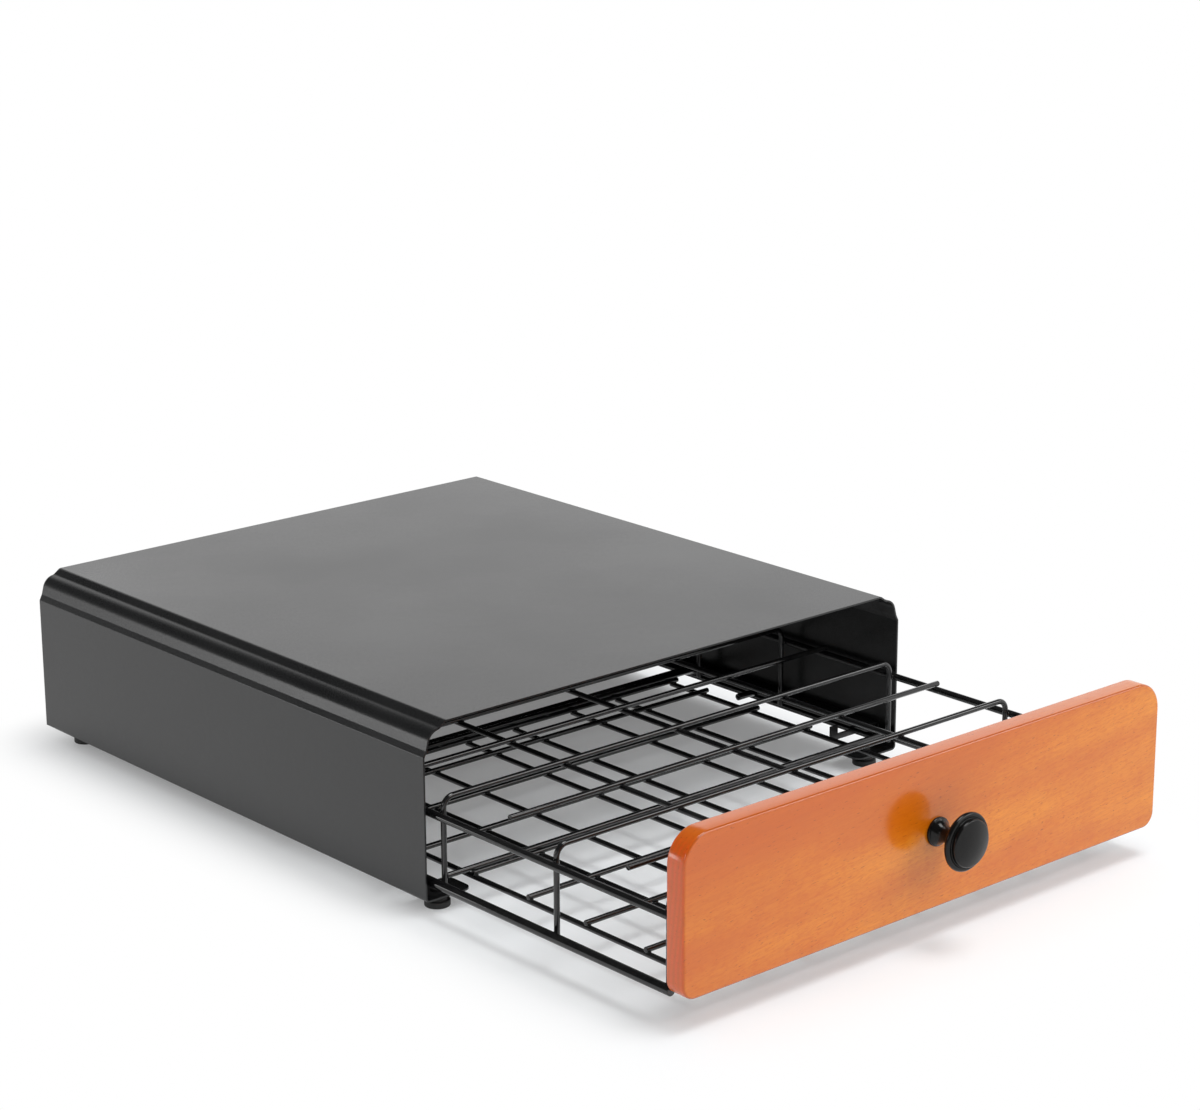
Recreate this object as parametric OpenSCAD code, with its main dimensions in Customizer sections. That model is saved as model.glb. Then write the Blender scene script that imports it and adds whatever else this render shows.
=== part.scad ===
// Coffee pod drawer: a bent steel housing on four rubber feet, with a wire
// basket drawer behind a wooden front board.
// The origin is on the table, under the middle of the whole piece as it stands
// here, with the drawer partly open. +X is to the right of someone facing the
// drawer front, +Z is up, and the drawer opens towards -Y. All sizes are in
// millimetres.

/* [Housing] */
// Width of the housing over its sides
housing_w = 340; // [332:1:380]
// Depth of the housing from front edge to rear edge
housing_d = 358; // [350:1:400]
// Height of the housing from the lower edge of its sides to its top
hood_h = 92.5; // [91:0.5:110]
// Thickness of the steel sheet
sheet_t = 1; // [0.8:0.1:1.2]
// Height of the lower edge of the sides above the table
foot_h = 9; // [7.5:0.5:14]

/* [Shoulder moulding] */
// Width of the moulded shoulder, from the side in to the flat top
shoulder_w = 14.4; // [13.5:0.1:18]
// Height of the moulded shoulder, from the flat top down to the side
shoulder_h = 16.6; // [15.5:0.1:20]
// Width of the cove beside the flat top
cove_w = 4; // [3.4:0.1:4.6]
// Depth of the cove below the flat top
cove_h = 2.9; // [2.4:0.1:3.4]
// Radius of the bullnose
bullnose_r = 8; // [6:0.1:8.6]
// How far the top of the bullnose stands in from the side
bullnose_in = 4.2; // [3.6:0.1:4.6]
// How far the top of the bullnose falls towards the side
bullnose_fall = 1.4; // [1:0.1:1.8]
// Width of the small step where the bullnose meets the side
step_w = 1.7; // [1.3:0.1:2.1]
// Height of that small step
step_h = 3.3; // [2.8:0.1:3.8]
// Radius of the bends of the cove
cove_bend_r = 3; // [2:0.1:4]
// Radius of the bend at the foot of the bullnose
bullnose_foot_r = 2.5; // [1.5:0.1:3]
// Radius of the bend at the top of the side
side_bend_r = 1.5; // [1:0.1:2]

/* [Foot tabs and feet] */
// Reach of each foot tab in from the side
tab_w = 30; // [27:0.5:36]
// Depth of each foot tab along the side
tab_d = 20; // [17:0.5:24]
// How far the tabs hang below the lower edge of the sides
tab_drop = 1.3; // [0.6:0.1:1.6]
// Outer radius of the bend between side and tab
tab_bend_r = 2.6; // [1.8:0.1:3]
// Corner radius at the free end of a tab
tab_corner_r = 5; // [2:0.5:7]
// Distance of the rear tabs from the rear edge
rear_tab_in = 8; // [6:0.5:14]
// Distance of each foot's axis from the side
foot_in = 15; // [13:0.5:17]
// Diameter of a foot where it stands on the table
foot_dia = 13.5; // [11:0.5:15]
// Height of the wide base of a foot
foot_base_h = 3.4; // [2.5:0.1:4]
// Diameter of a foot under the tab
foot_neck_dia = 10; // [8:0.5:11]
// Diameter of the hole in a tab
foot_hole_dia = 5; // [4:0.1:6]
// Diameter of the button that holds a foot on its tab
foot_button_dia = 7; // [6.5:0.1:8]
// Height of that button
foot_button_h = 1.8; // [1.2:0.1:2.2]
// Chamfer round the base of a foot
foot_chamfer = 0.6; // [0.3:0.1:0.9]

/* [Rear panel] */
// Depth of the flange round the rear panel
rear_flange_d = 8; // [5:0.5:10]
// How far the rear panel lies in from the rear edge
rear_panel_in = 1; // [0:0.5:2]
// Clearance between the rear panel and the basket when the drawer is shut
rear_gap = 3.5; // [2:0.5:8]

/* [Guides and stops] */
// Thickness of the guide channels
guide_t = 1; // [0.8:0.1:1.2]
// Distance of the guide channels' rear ends from the rear panel's flange
guide_rear_in = 2; // [1:0.5:10]
// Distance of the drawer stops from the front edge
stop_back = 29; // [20:0.5:40]
// Width of a drawer stop's upright
stop_w = 6; // [4:0.5:8]
// Distance of that upright's centre from the side
stop_in = 20; // [19:0.5:21]
// Height of the arm that carries it, under the guide channel
stop_arm_h = 3.5; // [3:0.1:4]
// Thickness of a drawer stop
stop_t = 1.2; // [1:0.1:1.5]

/* [Front board] */
// Clearance between each end of the wooden board and the housing's side
board_side_gap = 1; // [0.8:0.1:3]
// Clearance between the board's upper edge and the housing's top
board_top_gap = 3.75; // [3.5:0.25:8]
// Thickness of the wooden board
board_t = 12; // [10:0.5:14]
// Radius of the board's upper corners
board_top_r = 16; // [15:0.5:24]
// Radius of the board's lower corners
board_low_r = 8; // [6:0.5:16]
// Chamfer round the board's edges
board_chamfer = 0.8; // [0.4:0.1:1.5]
// Height of the board's lower edge above the lower edge of the sides
board_lift = 7.25; // [6:0.25:8.25]

/* [Basket wires] */
// Diameter of the lower rail
lower_dia = 5; // [4.6:0.1:5.2]
// Diameter of the upper rail
upper_dia = 4; // [3.5:0.1:4.5]
// Diameter of the hoops, cross wires and floor wires
wire_dia = 3; // [2.6:0.1:3.2]
// Height of the lower rail above the lower edge of the sides
lower_z = 8.3; // [7.9:0.1:8.5]
// Height of the upper rail above the lower edge of the sides
upper_z = 44.7; // [40:0.1:47]
// Height of the hoop tops above the lower edge of the sides
hoop_z = 53.6; // [51:0.1:60]
// Bend radius of the hoops at wire centre
hoop_bend_r = 6; // [4:0.5:9]
// Bend radius of the rails' rear corners at wire centre
rail_bend_r = 8; // [6:0.5:9]
// Distance from the board's back to the first cross wire
first_station = 42.2; // [38:0.1:44]
// Distance from the last cross wire to the rear hoop
last_station_in = 26.6; // [20:0.1:32]
// Distance from the board's back to the front hoop
front_hoop_in = 6; // [5.8:0.1:7]
// Clearance between the outer pod columns and the legs of the hoops
column_edge = 1.35; // [0.5:0.05:3]
// Half the distance between the two floor wires of a column
cradle_half = 22; // [18:0.5:24]
// How far short of the hoops' legs the middle cross wires end
middle_short = 5.35; // [4:0.05:16]
// How far the floor cross wires stick out past the outer floor wires
floor_overhang = 2.2; // [1.5:0.1:3]

/* [Drawer travel] */
// How far the drawer stands open
drawer_out = 186.8; // [0:0.1:255]
// Distance from the fourth hoop back to the stop fingers
finger_behind = 22.5; // [4:0.1:36]
// Diameter of a stop finger
finger_dia = 4; // [3.5:0.1:4.2]

/* [Knob and fasteners] */
// Diameter of the knob's head
knob_dia = 30; // [26:0.5:34]
// Length of the knob
knob_l = 25; // [24:0.5:28]
// Diameter of the knob's base
knob_base_dia = 15; // [13:0.5:17]
// Height of the straight rim of that base
knob_base_h = 1.6; // [1:0.1:2]
// Radius of the rounding above that rim
knob_base_r = 1.9; // [1.4:0.1:2.4]
// Diameter of the knob's waist
knob_waist_dia = 8; // [7.5:0.1:9]
// Distance of the waist from the board
knob_waist_at = 8; // [7:0.1:9]
// Radius of the rounded rim of the knob's head
knob_rim_r = 2.1; // [1.8:0.1:2.6]
// Distance of the widest place of the head from the knob's front
knob_rim_in = 4.7; // [4:0.1:5.5]
// Width of the groove between that rim and the raised face
knob_groove_w = 0.15; // [0.1:0.05:1]
// Height of the raised face's edge above the groove
knob_face_h = 1.1; // [0.6:0.1:1.4]
// Depth of the knob's bore
knob_bore = 12; // [10:0.5:14]
// Diameter of the knob screw
knob_screw_dia = 4; // [3.5:0.1:4.2]
// Diameter of the knob screw's head
knob_screw_head_dia = 8; // [7:0.5:10]
// Height of the knob screw's head
knob_screw_head_h = 3; // [2.5:0.1:3]
// Diameter of the wood screws
wood_screw_dia = 3.5; // [3:0.1:4]
// Diameter of the wood screws' heads
wood_screw_head_dia = 7; // [6:0.5:8]
// Height of the wood screws' heads
wood_screw_head_h = 2.2; // [1.8:0.1:2.4]
// Wood left in front of the wood screws
screw_cover = 3; // [2:0.5:4]
// Thickness of the board brackets
bracket_t = 1.5; // [1.2:0.1:1.6]
// Width of the board brackets
bracket_w = 22; // [18:0.5:24]
// Distance of the wood screws from the upper and lower edges of a bracket
screw_inset = 8; // [6:0.5:10]

/* [Hidden] */

steel = "#3a3b3c";
wire_black = "#26272a";
wood = "#d98a4e";
rubber = "#1d1d1e";
zinc = "#9a9ca0";

wire_fn = 32;       // sides of a wire
turned_fn = 64;     // sides of a turned part
bend_steps = 6;     // chords in each bend of the sheet
turned_steps = 8;   // chords in each arc of the knob's outline
least_r = 0.1;      // the tightest that a bend gets
gap = 0.1;          // clearance between pieces that are fixed together
run_gap = 0.35;     // clearance between the lower rail and its channel
end_gap = 0.3;      // clearance at the stops at both ends of the travel
pass_gap = 0.4;     // clearance under the wires that pass over the stops
screw_gap = 0.5;    // by how much a screw's hole is wider than the screw
slot_w = 0.9;       // width of the slots in the screw heads
slot_h = 1;         // depth of those slots
bore_end_gap = 1;   // between the knob screw's end and the bottom of its bore
columns = 4;        // columns of pods, side by side
last_station = 6;   // the cross wires between the front and rear hoops count from 0
cut = 1;            // how far a cutter reaches past what it cuts

half_w = housing_w / 2;
front_y = (drawer_out + knob_l - housing_d) / 2;
rear_y = front_y + housing_d;
edge_z = foot_h;                       // lower edge of the sides
tab_top_z = edge_z - tab_drop + sheet_t;
tab_bend_z = edge_z - tab_drop + tab_bend_r;   // where a tab's bend meets the side
rear_plate_y = rear_y - rear_panel_in - sheet_t;

// Basket places. Distances along the basket count from the board's back.
board_back_y = front_y + board_t - drawer_out;
rail_gap = 1.25;                       // between the lower rail and its channel's web
lower_x = half_w - sheet_t - guide_t - rail_gap - lower_dia / 2;
legs_x = lower_x - lower_dia / 2 - wire_dia / 2;
upper_x = lower_x - lower_dia / 2 + upper_dia / 2;
low_z = edge_z + lower_z;
up_z = edge_z + upper_z;
top_z = edge_z + hoop_z;
floor_rise = 0.4;                      // of the floor cross wires above the lower rail
floor_z = low_z + floor_rise;          // floor cross wires
cradle_z = floor_z - wire_dia;         // floor wires, under the cross wires
bearer_z = floor_z + wire_dia;         // bearers, on the cross wires
divider_z = top_z - wire_dia;          // dividers, under the hoops
leg_foot_in = 0.5;                     // between the legs' ends and the rail's underside
leg_foot_z = low_z - lower_dia / 2 + leg_foot_in;
basket_l = rear_plate_y - rear_gap - lower_dia / 2 - (front_y + board_t);
hoop_end_gap = 0.5;                    // between the rear hoop and the rails' bends
rear_hoop_in = basket_l - rail_bend_r - wire_dia / 2 - hoop_end_gap;
rail_lip = legs_x + wire_dia / 2 + run_gap;

leg_inner_x = legs_x - wire_dia / 2;
rail_inner_x = lower_x - lower_dia / 2;
column_pitch = 2 * (leg_inner_x - column_edge) / columns;
middle_reach = leg_inner_x - middle_short;
floor_reach = (columns - 1) / 2 * column_pitch + cradle_half + floor_overhang;

station_pitch = (rear_hoop_in - last_station_in - first_station) / last_station;
function station(i) = first_station + i * station_pitch;
finger_in = station(5) + finger_behind;

board_w = housing_w - 2 * (sheet_t + board_side_gap);
board_low_z = edge_z + board_lift;
board_high_z = edge_z + hood_h - sheet_t - board_top_gap;
knob_z = (board_low_z + board_high_z) / 2;

guide_y = front_y + board_t + end_gap;
guide_low_z = low_z - lower_dia / 2 - run_gap - guide_t;
stop_x = half_w - stop_in;
stop_top_z = bearer_z - wire_dia / 2 - pass_gap;

// The brackets reach a little past the middles of both rails, to be welded on
weld_reach = 0.3;
bracket_low_z = low_z - weld_reach;
bracket_high_z = up_z + weld_reach;
screw_zs = [bracket_low_z + screw_inset, bracket_high_z - screw_inset];
screw_x = rail_inner_x - bracket_w / 2;
screw_depth = board_t - screw_cover;

// ---------------------------------------------------------------- sheet bends

function unit(v) = v / norm(v);
function left_normal(v) = [-v[1], v[0]];
function turn(a, v, b) = (v - a)[0] * (b - v)[1] - (v - a)[1] * (b - v)[0];

// The corner points of a path moved d to its left
function shifted(path, d) = [for (i = [0 : len(path) - 1])
    let (before = unit(i > 0 ? path[i] - path[i - 1] : path[1] - path[0]),
         after = unit(i < len(path) - 1 ? path[i + 1] - path[i] : path[i] - path[i - 1]),
         n = left_normal(before),
         m = left_normal(after))
    path[i] + (n + m) * d / (1 + n * m)];

function arc(centre, r, from, to, steps) = [for (k = [0 : steps])
    let (a = from + (to - from) * k / steps)
    centre + r * [cos(a), sin(a)]];

// The arc that rounds the corner at v between a and b
function corner_arc(a, v, b, r) =
    let (u = unit(a - v),
         w = unit(b - v),
         half = acos(u * w) / 2,
         centre = v + unit(u + w) * r / sin(half),
         first = v + u * r / tan(half) - centre,
         last = v + w * r / tan(half) - centre,
         start = atan2(first[1], first[0]),
         sweep = (atan2(last[1], last[0]) - start + 540) % 360 - 180)
    arc(centre, r, start, start + sweep, bend_steps);

// A path with each inner corner rounded. A shift to the left tightens left
// turns and opens right turns, so that the sheet keeps its thickness.
function bent(path, radii, d) =
    let (p = shifted(path, d), last = len(p) - 1)
    [for (i = [0 : last])
        for (q = i == 0 || i == last ? [p[i]]
                : corner_arc(p[i - 1], p[i], p[i + 1],
                    max(least_r, radii[i] - sign(turn(p[i - 1], p[i], p[i + 1])) * d)))
            q];

function mirrored(path) = [for (i = [len(path) - 1 : -1 : 0]) [-path[i][0], path[i][1]]];
function reversed(path) = [for (i = [len(path) - 1 : -1 : 0]) path[i]];

// Right half of the housing's outer section, from the lower edge to the flat top
right_half = [
    [half_w, edge_z],
    [half_w, edge_z + hood_h - shoulder_h],
    [half_w - step_w, edge_z + hood_h - shoulder_h + step_h],
    [half_w - bullnose_in, edge_z + hood_h - cove_h - bullnose_fall],
    [half_w - shoulder_w + cove_w, edge_z + hood_h - cove_h],
    [half_w - shoulder_w, edge_z + hood_h]];
half_radii = [0, side_bend_r, bullnose_foot_r, bullnose_r, cove_bend_r, cove_bend_r];
hood_path = concat(right_half, mirrored(right_half));
hood_radii = concat(half_radii, reversed(half_radii));
function hood_section(d) = bent(hood_path, hood_radii, d);

// ---------------------------------------------------------------- shapes

// Extrudes a section drawn in X and Z backwards from y, along +Y
module along_y(y, length) {
    translate([0, y + length, 0]) rotate([90, 0, 0]) linear_extrude(length) children();
}

module ring_section(outer, inner) {
    polygon(concat(hood_section(outer), reversed(hood_section(inner))));
}

module wire_x(dia, from, to, y, z) {
    translate([from, y, z]) rotate([0, 90, 0]) cylinder(d = dia, h = to - from, $fn = wire_fn);
}

module wire_y(dia, x, from, to, z) {
    translate([x, from, z]) rotate([-90, 0, 0]) cylinder(d = dia, h = to - from, $fn = wire_fn);
}

module wire_z(dia, x, y, from, to) {
    translate([x, y, from]) cylinder(d = dia, h = to - from, $fn = wire_fn);
}

// A quarter bend in the XY plane, round the origin, from +X to +Y
module quarter_bend(dia, r) {
    rotate_extrude(angle = 90, $fn = turned_fn) translate([r, 0]) circle(d = dia, $fn = wire_fn);
}

module on_both_sides() {
    children();
    mirror([1, 0, 0]) children();
}

// The basket is drawn from the board's back, at the place where it stands open
module in_basket() {
    translate([0, board_back_y, 0]) children();
}

// ---------------------------------------------------------------- housing

module tab_section() {
    intersection() {
        translate([half_w - tab_bend_r, tab_bend_z]) difference() {
            circle(r = tab_bend_r, $fn = turned_fn);
            circle(r = tab_bend_r - sheet_t, $fn = turned_fn);
        }
        translate([half_w - tab_bend_r, tab_bend_z - tab_bend_r]) square(tab_bend_r);
    }
}

module foot_tab(y) {
    flat_w = tab_w - tab_bend_r;
    along_y(y, tab_d) tab_section();
    difference() {
        translate([half_w - tab_w, y, tab_top_z - sheet_t]) linear_extrude(sheet_t) union() {
            translate([tab_corner_r, 0]) square([flat_w - tab_corner_r, tab_d]);
            translate([0, tab_corner_r]) square([flat_w, tab_d - 2 * tab_corner_r]);
            for (v = [tab_corner_r, tab_d - tab_corner_r])
                translate([tab_corner_r, v]) circle(r = tab_corner_r, $fn = turned_fn);
        }
        translate([half_w - foot_in, y + tab_d / 2, tab_top_z - sheet_t - cut])
            cylinder(d = foot_hole_dia, h = sheet_t + 2 * cut, $fn = wire_fn);
    }
}

front_tab_y = front_y;
rear_tab_y = rear_y - rear_tab_in - tab_d;

module housing_shell() color(steel) {
    difference() {
        along_y(front_y, housing_d) ring_section(0, sheet_t);
        for (side = [-1, 1], y = [front_tab_y, rear_tab_y])
            translate([side * half_w - 2 * sheet_t, y, edge_z - cut])
                cube([4 * sheet_t, tab_d, tab_bend_z - edge_z + cut]);
    }
    on_both_sides() for (y = [front_tab_y, rear_tab_y]) foot_tab(y);
}

// A plate with a flange round it, clear of the bends of the rear tabs
module rear_panel() color(steel) {
    outer = sheet_t + gap;
    panel_low_z = tab_bend_z + gap;
    difference() {
        union() {
            along_y(rear_plate_y, sheet_t) polygon(hood_section(outer));
            along_y(rear_plate_y - rear_flange_d, rear_flange_d)
                ring_section(outer, outer + sheet_t);
        }
        translate([-half_w, rear_plate_y - rear_flange_d - cut, edge_z - cut])
            cube([housing_w, rear_flange_d + sheet_t + 2 * cut, panel_low_z - edge_z + cut]);
    }
}

// A channel round the lower rail, open towards the basket. The board's back
// comes up to its front end when the drawer shuts.
module guide_channel() color(steel) {
    channel_h = lower_dia + 2 * run_gap;
    lip_w = half_w - sheet_t - rail_lip;
    length = rear_plate_y - rear_flange_d - guide_rear_in - guide_y;
    along_y(guide_y, length) translate([rail_lip, guide_low_z]) difference() {
        square([lip_w, channel_h + 2 * guide_t]);
        translate([-cut, guide_t]) square([lip_w - guide_t + cut, channel_h]);
    }
}

// A plate under the channel, whose upright catches the stop finger when the
// drawer is fully open. The hoops' legs pass over its arm.
module drawer_stop() color(steel) {
    inner_x = stop_x - stop_w / 2;
    arm_low_z = guide_low_z - stop_arm_h;
    translate([inner_x, front_y + stop_back, arm_low_z]) {
        cube([half_w - sheet_t - inner_x, stop_t, stop_arm_h]);
        cube([stop_w, stop_t, stop_top_z - arm_low_z]);
    }
}

module foot(y) color(rubber) {
    tab_low_z = tab_top_z - sheet_t;
    stem_dia = foot_hole_dia - 2 * gap;
    translate([half_w - foot_in, y + tab_d / 2, 0]) rotate_extrude($fn = turned_fn) polygon([
        [0, 0],
        [foot_dia / 2 - foot_chamfer, 0],
        [foot_dia / 2, foot_chamfer],
        [foot_dia / 2, foot_base_h - foot_chamfer],
        [foot_dia / 2 - foot_chamfer, foot_base_h],
        [foot_neck_dia / 2, foot_base_h],
        [foot_neck_dia / 2, tab_low_z],
        [stem_dia / 2, tab_low_z],
        [stem_dia / 2, tab_top_z],
        [foot_button_dia / 2, tab_top_z],
        [foot_button_dia / 2, tab_top_z + foot_button_h / 3],
        [stem_dia / 2, tab_top_z + foot_button_h],
        [0, tab_top_z + foot_button_h]]);
}

// ---------------------------------------------------------------- front board

module board_outline(inset) {
    w = board_w / 2 - inset;
    low = board_low_z + inset;
    high = board_high_z - inset;
    on_both_sides() {
        translate([w - board_top_r, high - board_top_r]) circle(r = board_top_r, $fn = turned_fn);
        translate([w - board_low_r, low + board_low_r]) circle(r = board_low_r, $fn = turned_fn);
    }
}

module front_board() color(wood) in_basket() difference() {
    hull() {
        along_y(-board_t + board_chamfer, board_t - 2 * board_chamfer) board_outline(0);
        along_y(-board_t, board_t) board_outline(board_chamfer);
    }
    translate([0, -board_t - cut, knob_z]) rotate([-90, 0, 0])
        cylinder(d = knob_screw_dia + screw_gap, h = board_t + 2 * cut, $fn = wire_fn);
    on_both_sides() for (z = screw_zs)
        translate([screw_x, -screw_depth - screw_gap, z]) rotate([-90, 0, 0])
            cylinder(d = wood_screw_dia + gap, h = screw_depth + screw_gap + cut, $fn = wire_fn);
}

// The knob's outline, as radius and distance from the board: a round base, a
// hollow waist, a head with a rounded rim, and a raised face inside a groove
knob_bore_r = knob_screw_dia / 2 + gap;
base_centre = [knob_base_dia / 2 - knob_base_r, knob_base_h];
base_top_at = knob_base_h + knob_base_r;
waist_rise = knob_waist_at - base_top_at;
waist_in = base_centre[0] - knob_waist_dia / 2;
hollow_r = (pow(waist_in, 2) + pow(waist_rise, 2)) / (2 * waist_in);
hollow_centre = [knob_waist_dia / 2 + hollow_r, knob_waist_at];
hollow_start = 180 + asin(waist_rise / hollow_r);
back_slope = 56;       // of the head's back, from the board's plane
groove_side = 120;     // where the rim's rounding ends in the groove
rim_centre = [knob_dia / 2 - knob_rim_r, knob_l - knob_rim_in];
groove_at = rim_centre[1] + knob_rim_r * sin(groove_side);
face_r = rim_centre[0] + knob_rim_r * cos(groove_side) - knob_groove_w;
face_edge = knob_face_h / 2;
face_at = groove_at + knob_face_h;
knob_outline = concat(
    [[knob_bore_r, 0], [knob_base_dia / 2, 0]],
    arc(base_centre, knob_base_r, 0, 90, turned_steps),
    arc(hollow_centre, hollow_r, hollow_start, 180 - back_slope, turned_steps),
    arc(rim_centre, knob_rim_r, -back_slope, groove_side, turned_steps),
    [[face_r, groove_at], [face_r, face_at - face_edge]],
    [for (k = [turned_steps : -1 : 0]) let (share = k / turned_steps)
        [share * (face_r - face_edge), knob_l - (knob_l - face_at) * pow(share, 2)]],
    [[0, knob_bore], [knob_bore_r, knob_bore]]);

module knob() color(wire_black) in_basket()
    translate([0, -board_t, knob_z]) rotate([90, 0, 0])
        rotate_extrude($fn = turned_fn) polygon(knob_outline);

// A screw driven towards -Y, with the underside of its head at the origin
module screw(dia, head_dia, head_h, length, slots) {
    rotate([90, 0, 0]) {
        translate([0, 0, -head_h]) difference() {
            cylinder(d = head_dia, h = head_h, $fn = turned_fn);
            for (k = [1 : slots]) rotate([0, 0, k * 90])
                translate([-head_dia / 3, -slot_w / 2, -cut])
                    cube([head_dia * 2 / 3, slot_w, slot_h + cut]);
        }
        cylinder(d = dia, h = length, $fn = wire_fn);
    }
}

module knob_screw() color(zinc) in_basket() translate([0, 0, knob_z])
    screw(knob_screw_dia, knob_screw_head_dia, knob_screw_head_h,
        board_t + knob_bore - bore_end_gap, 1);

// A plate on the board's back, welded between the front ends of the two rails
module board_bracket() color(wire_black) in_basket() difference() {
    translate([rail_inner_x - bracket_w, 0, bracket_low_z])
        cube([bracket_w, bracket_t, bracket_high_z - bracket_low_z]);
    for (z = screw_zs)
        translate([screw_x, -cut, z]) rotate([-90, 0, 0])
            cylinder(d = wood_screw_dia + screw_gap, h = bracket_t + 2 * cut, $fn = wire_fn);
}

module board_screws() color(zinc) in_basket()
    for (side = [-1, 1], z = screw_zs) translate([side * screw_x, bracket_t, z])
        screw(wood_screw_dia, wood_screw_head_dia, wood_screw_head_h, bracket_t + screw_depth, 2);

// ---------------------------------------------------------------- basket

// A rail along both sides and across the rear, bent from one wire
module rail(dia, x, z, rear) {
    r = rail_bend_r;
    wire_x(dia, -(x - r), x - r, rear, z);
    on_both_sides() {
        wire_y(dia, x, gap, rear - r, z);
        translate([x - r, rear - r, z]) quarter_bend(dia, r);
    }
}

module lower_rail() color(wire_black) in_basket()
    rail(lower_dia, lower_x, low_z, basket_l);

module upper_rail() color(wire_black) in_basket()
    rail(upper_dia, upper_x, up_z, basket_l - lower_dia / 2 + upper_dia / 2);

// A hoop stands on the lower rails and crosses the basket between the pods
module hoop(d) color(wire_black) in_basket() translate([0, d, 0]) {
    r = hoop_bend_r;
    wire_x(wire_dia, -(legs_x - r), legs_x - r, 0, top_z);
    on_both_sides() {
        wire_z(wire_dia, legs_x, 0, leg_foot_z, top_z - r);
        translate([legs_x - r, 0, top_z - r]) rotate([90, 0, 0]) quarter_bend(wire_dia, r);
    }
}

module middle_cross_wires() color(wire_black) in_basket()
    for (i = [0 : 2 : last_station]) wire_x(wire_dia, -middle_reach, middle_reach, station(i), top_z);

module divider_wire(x) color(wire_black) in_basket()
    wire_y(wire_dia, x, front_hoop_in - wire_dia, rear_hoop_in + wire_dia, divider_z);

module bearer_wires() color(wire_black) in_basket()
    for (d = [front_hoop_in, station(3), rear_hoop_in])
        wire_x(wire_dia, -leg_inner_x, leg_inner_x, d, bearer_z);

module floor_cross_wires() color(wire_black) in_basket()
    for (d = concat([front_hoop_in], [for (i = [0 : last_station]) station(i)], [rear_hoop_in]))
        wire_x(wire_dia, -floor_reach, floor_reach, d, floor_z);

module floor_wires(column) color(wire_black) in_basket()
    for (side = [-1, 1])
        wire_y(wire_dia, (column - (columns + 1) / 2) * column_pitch + side * cradle_half,
            front_hoop_in - wire_dia, rear_hoop_in + wire_dia, cradle_z);

// A stub on the lower rail that the drawer stop catches
module stop_finger() color(wire_black) in_basket()
    wire_x(finger_dia, stop_x - stop_w / 2, rail_inner_x, finger_in, low_z);

// ---------------------------------------------------------------- the parts

housing_shell();
rear_panel();
mirror([1, 0, 0]) guide_channel();  // guide_channel_left
guide_channel();  // guide_channel_right
mirror([1, 0, 0]) drawer_stop();  // drawer_stop_left
drawer_stop();  // drawer_stop_right
mirror([1, 0, 0]) foot(front_tab_y);  // foot_front_left
foot(front_tab_y);  // foot_front_right
mirror([1, 0, 0]) foot(rear_tab_y);  // foot_rear_left
foot(rear_tab_y);  // foot_rear_right
front_board();
knob();
knob_screw();
mirror([1, 0, 0]) board_bracket();  // board_bracket_left
board_bracket();  // board_bracket_right
board_screws();
lower_rail();
upper_rail();
hoop(front_hoop_in);  // hoop_front
hoop(station(1));  // hoop_second
hoop(station(3));  // hoop_middle
hoop(station(5));  // hoop_fourth
hoop(rear_hoop_in);  // hoop_rear
middle_cross_wires();
divider_wire(-column_pitch);  // divider_wire_left
divider_wire(0);  // divider_wire_centre
divider_wire(column_pitch);  // divider_wire_right
bearer_wires();
floor_cross_wires();
floor_wires(1);  // floor_wires_column_1
floor_wires(2);  // floor_wires_column_2
floor_wires(3);  // floor_wires_column_3
floor_wires(4);  // floor_wires_column_4
mirror([1, 0, 0]) stop_finger();  // stop_finger_left
stop_finger();  // stop_finger_right
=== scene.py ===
"""Looks of the coffee pod drawer.

Sizes are in millimetres and become metres when a mesh is made. The pieces take their places from
the boxes of the CAD nodes that they replace.
"""

import math

import bmesh
import bpy
from mathutils import Matrix, Vector, noise


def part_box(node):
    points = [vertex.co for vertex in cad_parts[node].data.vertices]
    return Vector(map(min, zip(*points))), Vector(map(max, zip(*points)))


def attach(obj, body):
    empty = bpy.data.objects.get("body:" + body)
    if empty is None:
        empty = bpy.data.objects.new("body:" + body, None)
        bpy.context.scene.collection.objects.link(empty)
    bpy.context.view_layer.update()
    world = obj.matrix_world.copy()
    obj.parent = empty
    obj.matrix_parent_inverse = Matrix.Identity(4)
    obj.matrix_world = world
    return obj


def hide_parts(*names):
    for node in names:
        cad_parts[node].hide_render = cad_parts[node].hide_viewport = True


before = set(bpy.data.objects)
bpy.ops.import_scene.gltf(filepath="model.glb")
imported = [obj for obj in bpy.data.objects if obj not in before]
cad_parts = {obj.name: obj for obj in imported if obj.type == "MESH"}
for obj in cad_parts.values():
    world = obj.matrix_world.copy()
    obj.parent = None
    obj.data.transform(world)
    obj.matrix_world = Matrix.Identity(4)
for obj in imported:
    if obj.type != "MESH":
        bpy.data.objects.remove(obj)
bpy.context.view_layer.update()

MM = 0.001
MICRON = 0.000001
X, Y, Z = range(3)


def corners(node):
    """The lowest and the highest corner of a CAD node, in millimetres."""
    return [[round(v / MM, 2) for v in corner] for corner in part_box(node)]


def middle(node, axis):
    """The middle of a CAD node along one axis, in millimetres."""
    low, high = corners(node)
    return (low[axis] + high[axis]) / 2


# ---------------------------------------------------------------- sizes of the housing

shell_low, shell_high = corners("housing_shell")
HALF_W, REAR_Y, TOP_Z = shell_high
FRONT_Y, TAB_LOW_Z = shell_low[Y:]
SHEET_T = 1
SHEET_GAP = 0.1

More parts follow.
